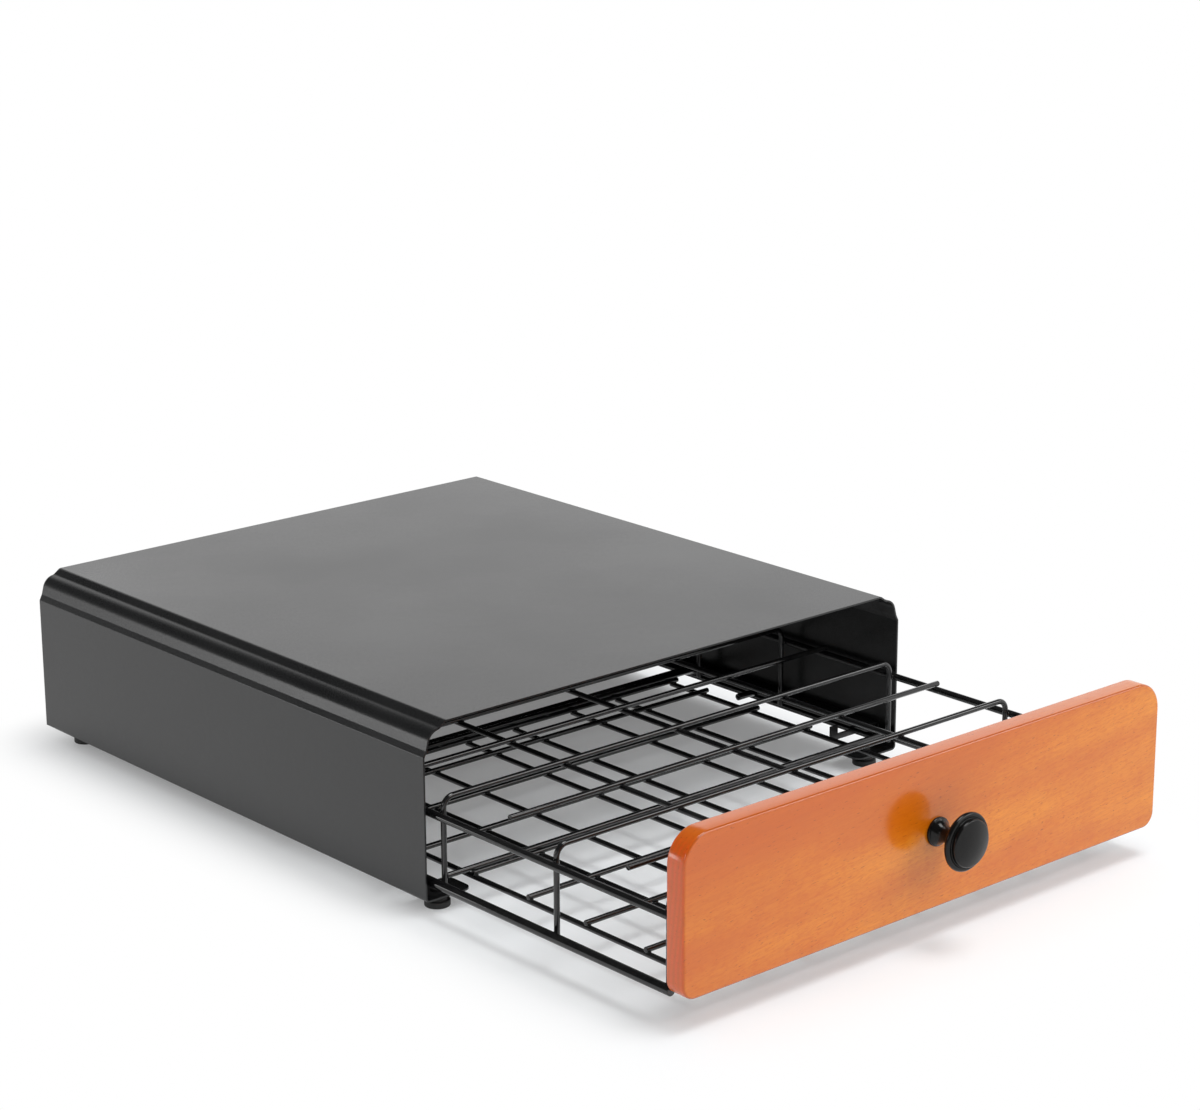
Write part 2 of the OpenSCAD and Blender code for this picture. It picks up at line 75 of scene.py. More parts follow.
SHOULDER_W, SHOULDER_H = 14.4, 16.6
COVE_W, COVE_H, COVE_BEND_R = 4, 2.9, 3
BULLNOSE_IN, BULLNOSE_FALL, BULLNOSE_R, BULLNOSE_FOOT_R = 4.2, 1.4, 8, 2.5
STEP_W, STEP_H, SIDE_BEND_R = 1.7, 3.3, 1.5

TAB_W, TAB_D, TAB_DROP = 30, 20, 1.3
TAB_BEND_R, TAB_CORNER_R = 2.6, 5
REAR_TAB_IN = 8
EDGE_Z = TAB_LOW_Z + TAB_DROP
TAB_TOP_Z = TAB_LOW_Z + SHEET_T
TAB_BEND_Z = TAB_LOW_Z + TAB_BEND_R
TAB_YS = {"front": FRONT_Y, "rear": REAR_Y - REAR_TAB_IN - TAB_D}

FOOT_X = middle("foot_front_right", X)
FOOT_R, FOOT_NECK_R, FOOT_STEM_R, FOOT_HOLE_R, FOOT_BUTTON_R = 6.75, 5, 2.4, 2.5, 3.5
FOOT_BASE_H, FOOT_TOP_Z = 3.4, 10.5
FOOT_ROUND_R, FOOT_FILLET_R = 0.6, 0.5
FOOT_HOLLOW_R, FOOT_HOLLOW_H = 3.7, 0.25

SHELL_ROUND, PLATE_ROUND, SMALL_ROUND = 0.28, 0.3, 0.25

# Edges that turn by more than these degrees stay sharp in smooth shading, or are bevelled
CRISP_ANGLE, SOFT_ANGLE, BEVEL_ANGLE = 35, 50, 40
BEVEL_STEPS, HOOD_BEND_STEPS = 3, 14

# ---------------------------------------------------------------- sizes of the drawer

board_low, board_high = corners("front_board")
BOARD_HALF_W, BOARD_BACK_Y, BOARD_HIGH_Z = board_high
BOARD_FRONT_Y, BOARD_LOW_Z = board_low[Y:]
BOARD_TOP_R, BOARD_LOW_R = 16, 8
BOARD_EDGE_R, FACE_RING = 1.3, 0.4
KNOB_Z = middle("knob", Z)

LOW_R, UP_R, WIRE_R, FINGER_R = 2.5, 2.0, 1.5, 2.0
BURR_R = 0.35
THICK_SIDES, THIN_SIDES = 24, 20
HOOP_BEND_R, RAIL_BEND_R = 6, 8

low_rail_low, low_rail_high = corners("lower_rail")
LOW_X, LOW_Z = low_rail_high[X] - LOW_R, low_rail_low[Z] + LOW_R
UP_Z = corners("upper_rail")[0][Z] + UP_R
RAIL_INNER_X = LOW_X - LOW_R

hoop_low, hoop_high = corners("hoop_front")
LEG_X, LEG_LOW_Z, HOOP_Z = hoop_high[X] - WIRE_R, hoop_low[Z], hoop_high[Z] - WIRE_R
LEG_INNER_X = LEG_X - WIRE_R
HOOP_PLACES = ("front", "second", "middle", "fourth", "rear")
HOOP_YS = {place: middle(f"hoop_{place}", Y) for place in HOOP_PLACES}
STATION_PITCH = (HOOP_YS["fourth"] - HOOP_YS["second"]) / 4
STATION_YS = [HOOP_YS["second"] + STATION_PITCH * (i - 1) for i in range(7)]
FLOOR_YS = [HOOP_YS["front"], *STATION_YS, HOOP_YS["rear"]]
BEARER_YS = [HOOP_YS["front"], HOOP_YS["middle"], HOOP_YS["rear"]]
COLUMNS = range(1, 5)

# Half the size along X, Y and Z of the weld at each kind of crossing
LOW_RAIL_WELD, UP_RAIL_WELD = (0.8, 1.5, 1.9), (0.75, 1.5, 1.6)
DIVIDER_WELD, CRADLE_WELD = (1.3, 1.3, 0.75), (1.25, 1.25, 0.75)
BEARER_END_WELD, BEARER_WELD = (0.75, 1.6, 1.6), (2.2, 1.1, 0.7)
FINGER_WELD = (0.7, 2.1, 2.0)

# ---------------------------------------------------------------- solids, each as vertices and faces

CUT = 3  # how far a cutter reaches past what it cuts


def arc(centre, radius, start, end, steps=6):
    """Points of an arc in a plane, between two angles in degrees."""
    angles = [math.radians(start + (end - start) * k / steps) for k in range(steps + 1)]
    return [(centre[0] + radius * math.cos(a), centre[1] + radius * math.sin(a)) for a in angles]


def bend(a, corner, b, radius, steps=10):
    """The points of the arc that rounds a corner between a and b."""
    u, w = (a - corner).normalized(), (b - corner).normalized()
    half = u.angle(w) / 2
    centre = corner + (u + w).normalized() * radius / math.sin(half)
    first = corner + u * radius / math.tan(half) - centre
    last = corner + w * radius / math.tan(half) - centre
    return [centre + first.slerp(last, k / steps) * radius for k in range(steps + 1)]


def rounded(points, radius):
    """A path through points with each inner corner rounded."""
    points = [Vector(p) for p in points]
    path = [points[0]]
    for a, corner, b in zip(points, points[1:], points[2:]):
        path += bend(a, corner, b, radius)
    return path + [points[-1]]


def skinned(rings):
    """Faces between rings of equal length, with an end face on the first and the last."""
    n = len(rings[0])
    faces = [
        (k * n + i, k * n + j, (k + 1) * n + j, (k + 1) * n + i)
        for k in range(len(rings) - 1)
        for i, j in ((i, (i + 1) % n) for i in range(n))
    ]
    faces.append(tuple(reversed(range(n))))
    faces.append(tuple((len(rings) - 1) * n + i for i in range(n)))
    return [v for ring in rings for v in ring], faces


def circle(centre, u, v, radius, sides):
    """Points round a centre, in the plane of two directions."""
    angles = (2 * math.pi * k / sides for k in range(sides))
    return [centre + (u * math.cos(a) + v * math.sin(a)) * radius for a in angles]


def tube(points, radius):
    """A wire along a path, with its cut ends slightly rounded."""
    path = [Vector(p) for p in points]
    ends = []
    for end, other in ((path[0], path[1]), (path[-1], path[-2])):
        inward = (other - end).normalized()
        ends.append([
            (end + inward * (BURR_R - up), radius - BURR_R + out)
            for out, up in arc((0, 0), BURR_R, 90, 0, 3)
        ])
    stations = ends[0] + [(p, radius) for p in path[1:-1]] + ends[1][::-1]
    sides = THICK_SIDES if radius > WIRE_R else THIN_SIDES
    rings = []
    side = None
    for i, (p, r) in enumerate(stations):
        before = stations[max(i - 1, 0)][0]
        after = stations[min(i + 1, len(stations) - 1)][0]
        along = (after - before).normalized()
        if side is None:
            side = along.orthogonal().normalized()
        side = (side - along * side.dot(along)).normalized()
        rings.append(circle(p, side, along.cross(side), r, sides))
    return skinned(rings)


def turned(outline, origin, axis, sides=72):
    """A solid turned round an axis, from points of radius and height.

    Where the outline starts or ends on the axis, a tiny flat closes it.
    """
    tip_r = 0.02
    axis = Vector(axis).normalized()
    u = axis.orthogonal().normalized()
    rings = [
        circle(Vector(origin) + axis * height, u, axis.cross(u), max(radius, tip_r), sides)
        for radius, height in outline
    ]
    return skinned(rings)


def nugget(centre, radii, seed):
    """A small lumpy weld where two wires touch."""
    lump_size, lump_pitch = 0.22, 1.7
    bm = bmesh.new()
    bmesh.ops.create_icosphere(bm, subdivisions=2, radius=1)
    for v in bm.verts:
        lump = 1 + lump_size * noise.noise(v.co * lump_pitch + Vector((seed * 3.1, seed * 1.7, 0.5)))
        v.co = Vector(centre) + Vector(c * r * lump for c, r in zip(v.co, radii))
    solid = [v.co.copy() for v in bm.verts], [tuple(v.index for v in f.verts) for f in bm.faces]
    bm.free()
    return solid


def block(low, high):
    """A box between two corners."""
    (x0, y0, z0), (x1, y1, z1) = low, high
    return skinned([[(x0, y0, z), (x1, y0, z), (x1, y1, z), (x0, y1, z)] for z in (z0, z1)])


def prism(outline, y0, y1):
    """An outline in X and Z carried from y0 to y1."""
    return skinned([[(x, y, z) for x, z in outline] for y in (y1, y0)])


def mirrored(solid):
    """The same solid on the other side of X = 0."""
    verts, faces = solid
    return [(-x, y, z) for x, y, z in verts], [tuple(reversed(f)) for f in faces]


# ---------------------------------------------------------------- objects


def linked(name, *solids):
    """One object whose mesh is made of solids."""
    all_verts, all_faces = [], []
    for verts, faces in solids:
        base = len(all_verts)
        all_verts += [Vector(v) * MM for v in verts]
        all_faces += [tuple(base + i for i in face) for face in faces]
    mesh = bpy.data.meshes.new(name)
    mesh.from_pydata(all_verts, [], all_faces)
    mesh.validate()
    bm = bmesh.new()
    bm.from_mesh(mesh)
    bmesh.ops.recalc_face_normals(bm, faces=bm.faces)
    bm.to_mesh(mesh)
    bm.free()
    obj = bpy.data.objects.new(name, mesh)
    bpy.context.scene.collection.objects.link(obj)
    return obj


def bore(radius, centre, axis, sides):
    """A round cutter through a sheet or plate."""
    return linked("bore", turned([(radius, -CUT), (radius, CUT)], centre, axis, sides))


def applied(obj):
    """The object with its modifiers made part of its mesh."""
    depsgraph = bpy.context.evaluated_depsgraph_get()
    mesh = bpy.data.meshes.new_from_object(obj.evaluated_get(depsgraph))
    obj.modifiers.clear()
    obj.data = mesh
    return obj


def combined(obj, others, operation):
    """The object with others cut from it or joined to it."""
    for other in others:
        modifier = obj.modifiers.new(operation, "BOOLEAN")
        modifier.object = other
        modifier.operation = operation
        modifier.solver = "EXACT"
    applied(obj)
    for other in others:
        bpy.data.objects.remove(other)
    return obj


def bevelled(obj, width):
    """The object with its sharp edges rounded and its flat faces still flat."""
    modifier = obj.modifiers.new("bevel", "BEVEL")
    modifier.width = width * MM
    modifier.segments = BEVEL_STEPS
    modifier.limit_method = "ANGLE"
    modifier.angle_limit = math.radians(BEVEL_ANGLE)
    applied(obj)
    obj.data.shade_smooth()
    weighted = obj.modifiers.new("normals", "WEIGHTED_NORMAL")
    weighted.keep_sharp = True
    return applied(obj)


def smooth(obj, angle):
    """The object with smooth shading, except at edges sharper than an angle in degrees."""
    obj.data.shade_smooth()
    obj.data.set_sharp_from_angle(angle=math.radians(angle))
    return obj


def flipped(obj):
    """A copy of an object on the other side of X = 0."""
    copy = obj.copy()
    copy.data = obj.data.copy()
    copy.data.transform(Matrix.Scale(-1, 4, (1, 0, 0)))
    copy.data.flip_normals()
    bpy.context.scene.collection.objects.link(copy)
    return copy


def piece(obj, slot, body, *replaced):
    """Gives a piece its material and its place in the frame."""
    obj.data.materials.clear()
    obj.data.materials.append(MATERIALS[slot])
    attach(obj, body)
    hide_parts(*replaced)
    return obj


def both_sides(name, solid, finish, slot, node):
    """The left and the right copy of a piece of the housing, which is drawn on the right."""
    for side, one in (("left", mirrored(solid)), ("right", solid)):
        piece(finish(linked(f"{name}_{side}", one)), slot, "housing", f"{node}_{side}")


# ---------------------------------------------------------------- nodes of materials and the world


class Nodes:
    """Short calls for building the nodes of a material or a world."""

    def __init__(self, owner):
        owner.use_nodes = True
        self.tree = owner.node_tree

    def node(self, kind, **settings):
        made = self.tree.nodes.new(kind)
        for key, value in settings.items():
            setattr(made, key, value)
        return made

    def feed(self, socket, value):
        """Links an input to an output, or sets its value."""
        if isinstance(value, bpy.types.NodeSocket):
            self.tree.links.new(value, socket)
        elif socket.type == "RGBA":
            socket.default_value = (*value, 1)
        else:
            socket.default_value = value

    def put(self, node, **values):
        """Feeds a node's inputs by name."""
        for key, value in values.items():
            self.feed(node.inputs[key.replace("_", " ")], value)
        return node

    def axes(self, vector):
        """The X, Y and Z of a vector."""
        return self.put(self.node("ShaderNodeSeparateXYZ"), Vector=vector).outputs

    def vector(self, x, y, z=0.0):
        return self.put(self.node("ShaderNodeCombineXYZ"), X=x, Y=y, Z=z).outputs["Vector"]

    def scaled(self, source, x, y, z):
        return self.put(self.node("ShaderNodeMapping"), Vector=source, Scale=(x, y, z)).outputs["Vector"]

    def noise(self, source, scale, detail=2.0, rough=0.5, distort=0.0):
        made = self.node("ShaderNodeTexNoise")
        self.put(made, Vector=source, Scale=scale, Detail=detail, Roughness=rough, Distortion=distort)
        return made.outputs["Fac"]

    def ramp(self, factor, *stops):
        """A ramp through stops, each (place, grey or colour)."""
        made = self.node("ShaderNodeValToRGB")
        elements = made.color_ramp.elements
        while len(elements) < len(stops):
            elements.new(0.5)
        for element, (place, colour) in zip(elements, stops):
            element.position = place
            element.color = (*colour, 1) if isinstance(colour, tuple) else (colour, colour, colour, 1)
        self.feed(made.inputs["Fac"], factor)
        return made.outputs["Color"]

    def fade(self, value, start, end, low, high):
        """A soft change from low to high, between two values."""
        made = self.node("ShaderNodeMapRange", interpolation_type="SMOOTHSTEP")
        self.put(made, Value=value, From_Min=start, From_Max=end, To_Min=low, To_Max=high)
        return made.outputs["Result"]

    def math(self, operation, a, b=0.0):
        made = self.node("ShaderNodeMath", operation=operation)
        self.feed(made.inputs[0], a)
        self.feed(made.inputs[1], b)
        return made.outputs["Value"]

    def add(self, a, b):
        return self.math("ADD", a, b)

    def times(self, a, b):
        return self.math("MULTIPLY", a, b)

    def mix(self, factor, a, b, kind="RGBA"):
        """A blend of two colours, or of two numbers where the kind is FLOAT."""
        made = self.node("ShaderNodeMix", data_type=kind)
        for name, value in (("Factor", factor), ("A", a), ("B", b)):
            self.feed(next(s for s in made.inputs if s.name == name and s.enabled), value)
        return next(s for s in made.outputs if s.enabled)

    def bump(self, height, distance, under=None):
        made = self.put(self.node("ShaderNodeBump"), Height=height, Distance=distance)
        if under is not None:
            self.put(made, Normal=under)
        return made.outputs["Normal"]


class Surface(Nodes):
    """A material made of nodes round its shader."""

    def __init__(self, name):
        self.material = bpy.data.materials.new(name)
        super().__init__(self.material)
        self.shader = self.tree.nodes["Principled BSDF"]
        self.place = self.node("ShaderNodeTexCoord").outputs["Object"]

    def finish(self, **values):
        self.put(self.shader, **values)
        return self.material


# ---------------------------------------------------------------- materials


def powder_coat():
    """Black satin powder coat, with a fine orange peel and faint variation."""
    n = Surface("powder_coat")
    peel = n.noise(n.place, 620, 3, 0.55)
    fine = n.noise(n.place, 3200, 2, 0.6)
    cloud = n.noise(n.place, 9, 3, 0.6)
    return n.finish(
        Base_Color=n.ramp(cloud, (0.3, (0.006, 0.0062, 0.0066)), (0.7, (0.010, 0.0103, 0.0108))),
        Roughness=n.ramp(n.mix(0.5, cloud, fine), (0.35, 0.24), (0.65, 0.31)),
        Normal=n.bump(fine, 4 * MICRON, n.bump(peel, 18 * MICRON)),
        IOR=1.52,
    )


def wire_coat():
    """Glossier black coat on the wires, a little thick and uneven."""
    n = Surface("wire_coat")
    flow = n.noise(n.place, 160, 2, 0.5)
    fine = n.noise(n.place, 2600, 2, 0.6)
    return n.finish(
        Base_Color=n.ramp(flow, (0.35, (0.005, 0.005, 0.0055)), (0.65, (0.009, 0.009, 0.009))),
        Roughness=n.ramp(flow, (0.3, 0.07), (0.7, 0.13)),
        Normal=n.bump(fine, 3 * MICRON, n.bump(flow, 30 * MICRON)),
        IOR=1.58,
    )


def knob_enamel():
    """Black enamel of the knob, smooth, with fine dust marks in its gloss."""
    n = Surface("knob_enamel")
    flow = n.noise(n.place, 300, 2, 0.5)
    fine = n.noise(n.place, 2400, 2, 0.6)
    return n.finish(
        Base_Color=n.ramp(flow, (0.3, (0.003, 0.003, 0.003)), (0.7, (0.006, 0.0055, 0.005))),
        Roughness=n.ramp(fine, (0.3, 0.14), (0.7, 0.2)),
        Normal=n.bump(fine, 3 * MICRON, n.bump(flow, 12 * MICRON)),
        IOR=1.34,
    )


def growth_rings(n, grain, x, y, z):
    """Waves of 0 to 1 that wander along the grain, 3 mm apart through the board's thickness."""
    upwards, rightwards, wandering, radians_per_metre = 0.09, 0.01, 0.0052, 2000
    wander = n.noise(n.scaled(grain, 5, 26, 26), 1.0, 2, 0.5)
    depth = n.add(n.add(y, n.times(z, upwards)), n.times(x, rightwards))
    depth = n.add(depth, n.times(wander, wandering))
    waves = n.math("SINE", n.times(depth, radians_per_metre))
    return n.add(n.times(waves, 0.5), 0.5)


def stain_with_painted_light(n, grain, x, across):
    """The stain, from red-brown to gold, with painted light: a lighter band along the grain in the lower
    half is painted floor bounce, and the lightening to the right is painted light from that side.
    """
    band_z, band_fall, rightwards = 0.042, -64, 0.5
    tone_share, least = 0.6, 0.25
    # Painted light: the stain lightens towards a band in the lower half, as painted floor bounce, and
    # towards the right, as painted light from that side
    off_band = n.add(across, -band_z)
    band = n.add(n.times(x, rightwards), n.times(n.times(off_band, off_band), band_fall))
    tone = n.noise(n.scaled(grain, 3.5, 26, 30), 1.0, 4, 0.55, 0.5)
    golden = n.add(band, n.add(n.times(tone, tone_share), least))
    red_brown, honey, gold = (0.62, 0.124, 0.002), (0.71, 0.192, 0.003), (0.84, 0.290, 0.009)
    return n.ramp(golden, (0.3, red_brown), (0.5, honey), (0.68, gold))


def lacquered_wood():
    """Honey-stained wood with faint rings, figure, flecks, fibres and pores under a clear lacquer.

    Its ends are redder. Its upper and lower faces carry painted shade, a little darker, and their
    lacquer reflects less, and the rounded edges between those faces and the front and back carry a
    darker line, a painted dark reflection.
    """
    n = Surface("lacquered_wood")
    grain_climb = -0.1
    x, y, z = n.axes(n.place)
    across = n.add(z, n.times(x, grain_climb))
    grain = n.vector(x, y, across)
    figure = n.noise(n.scaled(grain, 60, 30, 24), 1.0, 3, 0.55, 0.8)
    fibre = n.noise(n.scaled(grain, 30, 800, 800), 1.0, 3, 0.6)
    fleck = n.noise(n.scaled(grain, 240, 900, 900), 1.0, 3, 0.6, 0.4)
    pore = n.noise(n.scaled(grain, 300, 1500, 1500), 1.0, 1, 0.5)

    facing = n.axes(n.node("ShaderNodeTexCoord").outputs["Normal"])
    to_end, to_front, to_top = (n.math("ABSOLUTE", axis) for axis in facing)
    end = n.ramp(to_end, (0.3, 0.0), (0.8, 1.0))
    # Mask of the upper and lower faces, which get painted shade and a weaker lacquer
    top = n.ramp(to_top, (0.75, 0.0), (0.95, 1.0))
    # Mask of the rounded edges between the upper and lower faces and the front and back, for a painted
    # dark reflection
    edge = n.ramp(n.times(to_front, to_top), (0.18, 0.0), (0.42, 1.0))

    # The stain, with painted floor bounce low on the board and painted light from the right
    colour = stain_with_painted_light(n, grain, x, across)
    colour = n.mix(n.times(end, 0.8), colour, (0.72, 0.072, 0.002))
    # Painted shade: the upper and lower faces a little darker
    colour = n.mix(n.times(top, 0.5), colour, (0.52, 0.11, 0.002))
    ring_strength = n.add(n.times(end, 0.4), 0.22)
    colour = n.mix(n.times(growth_rings(n, grain, x, y, z), ring_strength), colour, (0.54, 0.088, 0.002))
    colour = n.mix(n.ramp(figure, (0.38, 0.2), (0.62, 0.0)), colour, (0.58, 0.114, 0.002))
    colour = n.mix(n.ramp(fleck, (0.36, 0.44), (0.52, 0.0)), colour, (0.56, 0.106, 0.002))
    colour = n.mix(n.ramp(fibre, (0.38, 0.24), (0.6, 0.0)), colour, (0.53, 0.100, 0.002))
    colour = n.mix(n.ramp(pore, (0.25, 0.55), (0.31, 0.0)), colour, (0.19, 0.028, 0.004))
    # Painted dark reflection: a darker line along those rounded edges
    colour = n.mix(n.times(edge, 0.8), colour, (0.40, 0.07, 0.002))
    fleck_coat = n.ramp(fleck, (0.36, 0.84), (0.56, 1.0))
    # Less lacquer on the upper and lower faces, so they reflect less light
    top_coat = n.ramp(to_top, (0.75, 1.0), (0.95, 0.78))
    return n.finish(
        Base_Color=colour,
        Roughness=n.ramp(fibre, (0.3, 0.3), (0.7, 0.38)),
        Normal=n.bump(n.noise(n.place, 120, 2, 0.5), 10 * MICRON, n.bump(fibre, 4 * MICRON)),
        IOR=1.5,
        Specular_IOR_Level=0.1,
        Coat_Weight=n.times(fleck_coat, top_coat),
        Coat_Roughness=0.15,
        Coat_IOR=1.57,
    )


def rubber():
    """Dull black rubber."""
    n = Surface("rubber")
    grime = n.noise(n.place, 420, 4, 0.65)
    return n.finish(
        Base_Color=n.ramp(grime, (0.3, 0.012), (0.7, 0.024)),
        Roughness=n.ramp(grime, (0.3, 0.55), (0.7, 0.75)),
        Normal=n.bump(grime, 40 * MICRON),
        IOR=1.5,
    )


def zinc():
    """Zinc-plated steel, turned, with faint blotches."""
    n = Surface("zinc")
    blotch = n.noise(n.place, 700, 3, 0.6)
    return n.finish(
        Base_Color=n.ramp(blotch, (0.3, (0.46, 0.47, 0.49)), (0.7, (0.62, 0.62, 0.63))),
        Roughness=n.ramp(blotch, (0.3, 0.25), (0.7, 0.42)),
        Normal=n.bump(blotch, 10 * MICRON),
        Metallic=1.0,
    )


MATERIALS = {
    "housing_steel": powder_coat(),
    "basket_wire": wire_coat(),
    "knob_enamel": knob_enamel(),
    "board_wood": lacquered_wood(),
    "foot_rubber": rubber(),
    "screw_zinc": zinc(),
}

# ---------------------------------------------------------------- the bent sheet

# From the right side's lower edge to the flat top: the corners of the outer face and their radii
HOOD_RIGHT = [
    ((HALF_W, EDGE_Z), 0),
    ((HALF_W, TOP_Z - SHOULDER_H), SIDE_BEND_R),
    ((HALF_W - STEP_W, TOP_Z - SHOULDER_H + STEP_H), BULLNOSE_FOOT_R),
    ((HALF_W - BULLNOSE_IN, TOP_Z - COVE_H - BULLNOSE_FALL), BULLNOSE_R),
    ((HALF_W - SHOULDER_W + COVE_W, TOP_Z - COVE_H), COVE_BEND_R),
    ((HALF_W - SHOULDER_W, TOP_Z), COVE_BEND_R),
]
HOOD_CORNERS = HOOD_RIGHT + [((-x, z), radius) for (x, z), radius in reversed(HOOD_RIGHT)]
LEAST_BEND_R = 0.1


def hood_section(inset):
    """The housing's section, this far inside its outer face."""
    points = [Vector(p) for p, _ in HOOD_CORNERS]
    ways = [(b - a).normalized() for a, b in zip(points, points[1:])]
    path = []
    for p, before, after in zip(points, ways[:1] + ways, ways + ways[-1:]):
        n, m = Vector((-before.y, before.x)), Vector((-after.y, after.x))
        path.append(p + (n + m) * inset / (1 + n.dot(m)))
    section = [path[0]]
    for a, corner, b, (_, bend_r) in zip(path, path[1:], path[2:], HOOD_CORNERS[1:]):
        turn = math.copysign(1, (corner - a).cross(b - corner))
        radius = max(LEAST_BEND_R, bend_r - turn * inset)
        points = bend(a.to_3d(), corner.to_3d(), b.to_3d(), radius, HOOD_BEND_STEPS)
        section += [p.to_2d() for p in points]
    return section + [path[-1]]


def hood_ring(outer, inner):
    """The housing's section between two insets."""
    return hood_section(outer) + hood_section(inner)[::-1]


def foot_tab(y):
    """One tab bent in from the right side, with a hole for its foot."""
    end_x = HALF_W - TAB_W
    bend_centre = (HALF_W - TAB_BEND_R, TAB_BEND_Z)
    outer = arc(bend_centre, TAB_BEND_R, 0, -90, steps=8)
    inner = arc(bend_centre, TAB_BEND_R - SHEET_T, 0, -90, steps=8)
    outline = outer + [(end_x, TAB_LOW_Z), (end_x, TAB_TOP_Z)] + inner[::-1]
    tab = linked("tab", prism(outline, y, y + TAB_D))
    cutters = [bore(FOOT_HOLE_R, (FOOT_X, y + TAB_D / 2, TAB_LOW_Z), (0, 0, 1), sides=48)]
    for corner_y, way in ((y, 1), (y + TAB_D, -1)):
        centre = (end_x + TAB_CORNER_R, corner_y + way * TAB_CORNER_R)
        past_x, past_y = end_x - CUT, corner_y - way * CUT
        around = arc(centre, TAB_CORNER_R, 180, 180 + way * 90, steps=10)
        around += [(centre[0], past_y), (past_x, past_y), (past_x, centre[1])]
        rings = [[(px, py, z) for px, py in around] for z in (TAB_LOW_Z - CUT, TAB_TOP_Z + CUT)]
        cutters.append(linked("corner", skinned(rings)))
    return combined(tab, cutters, "DIFFERENCE")


def housing_shell():
    """The hood, with its sides relieved where the four foot tabs bend in."""
    shell = linked("housing_sheet", prism(hood_ring(0, SHEET_T), FRONT_Y, REAR_Y))
    reliefs = []
    for side in (-1, 1):
        for y in TAB_YS.values():
            start_y = y - CUT if y == FRONT_Y else y
            low = (side * HALF_W - CUT, start_y, EDGE_Z - CUT)
            high = (side * HALF_W + CUT, y + TAB_D, TAB_BEND_Z)
            reliefs.append(linked("relief", block(low, high)))
    combined(shell, reliefs, "DIFFERENCE")
    tabs = [foot_tab(y) for y in TAB_YS.values()]
    tabs += [flipped(tab) for tab in tabs]
    combined(shell, tabs, "UNION")
    piece(bevelled(shell, SHELL_ROUND), "housing_steel", "housing", "housing_shell")


def rear_panel():
    """A plate with a flange, clear of the shell and of the bends of the rear tabs."""
    low, high = corners("rear_panel")
    outer = SHEET_T + SHEET_GAP
    plate_y = high[Y] - SHEET_T
    overlap = 0.5
    rear = linked("rear_panel_sheet", prism(hood_section(outer), plate_y, high[Y]))
    flange = prism(hood_ring(outer, outer + SHEET_T), low[Y], plate_y + overlap)
    rear = combined(rear, [linked("flange", flange)], "UNION")
    below = block((-HALF_W, low[Y] - CUT, 0), (HALF_W, high[Y] + CUT, low[Z]))
    rear = combined(rear, [linked("below", below)], "DIFFERENCE")
    piece(bevelled(rear, PLATE_ROUND), "housing_steel", "housing", "rear_panel")


# ---------------------------------------------------------------- guides, stops and feet


def guide_channels():
    """The C-shaped channels in which the lower rail runs."""
    (lip_x, front_y, low_z), (web_x, rear_y, top_z) = corners("guide_channel_right")
    outline = [
        (lip_x, low_z),
        (web_x, low_z),
        (web_x, top_z),
        (lip_x, top_z),
        (lip_x, top_z - SHEET_T),
        (web_x - SHEET_T, top_z - SHEET_T),
        (web_x - SHEET_T, low_z + SHEET_T),
        (lip_x, low_z + SHEET_T),
    ]
    both_sides("channel", prism(outline, front_y, rear_y), lambda obj: bevelled(obj, PLATE_ROUND),
               "housing_steel", "guide_channel")


def drawer_stops():
    """Small plates under the channels, each with an upright that stops the basket."""
    upright_w, arm_h = 6, 3.5
    (x, front_y, low_z), (side_x, rear_y, top_z) = corners("drawer_stop_right")
    outline = [
        (x, low_z),
        (side_x, low_z),
        (side_x, low_z + arm_h),
        (x + upright_w, low_z + arm_h),
        (x + upright_w, top_z),
        (x, top_z),
    ]
    both_sides("stop_plate", prism(outline, front_y, rear_y), lambda obj: bevelled(obj, SMALL_ROUND),
               "housing_steel", "drawer_stop")


def feet():
    """Rubber feet with a wide base, a neck up to the tab and a button above the tab's hole."""
    base_centre_r = FOOT_R - FOOT_ROUND_R
    slant, button_centre_h = 0.3, 0.6
    crown_low_r, crown_r, crown_h = 2.4, 1.4, 0.15
    outline = (
        [(0, FOOT_HOLLOW_H), (FOOT_HOLLOW_R - slant, FOOT_HOLLOW_H), (FOOT_HOLLOW_R, 0)]
        + arc((base_centre_r, FOOT_ROUND_R), FOOT_ROUND_R, -90, 0)
        + arc((base_centre_r, FOOT_BASE_H - FOOT_ROUND_R), FOOT_ROUND_R, 0, 90)
        + arc((FOOT_NECK_R + FOOT_FILLET_R, FOOT_BASE_H + FOOT_FILLET_R), FOOT_FILLET_R, -90, -180)
        + [(FOOT_NECK_R, TAB_LOW_Z), (FOOT_STEM_R, TAB_LOW_Z), (FOOT_STEM_R, TAB_TOP_Z)]
        + [(FOOT_BUTTON_R - slant, TAB_TOP_Z)]
        + arc((FOOT_BUTTON_R - FOOT_FILLET_R, TAB_TOP_Z + button_centre_h), FOOT_FILLET_R, 0, 60)
        + [(crown_low_r, FOOT_TOP_Z - crown_h), (crown_r, FOOT_TOP_Z), (0, FOOT_TOP_Z)]
    )
    for place, y in TAB_YS.items():
        solid = turned(outline, (FOOT_X, y + TAB_D / 2, 0), (0, 0, 1))
        both_sides(f"rubber_foot_{place}", solid, lambda obj: smooth(obj, SOFT_ANGLE),
                   "foot_rubber", f"foot_{place}")


# ---------------------------------------------------------------- front board and knob


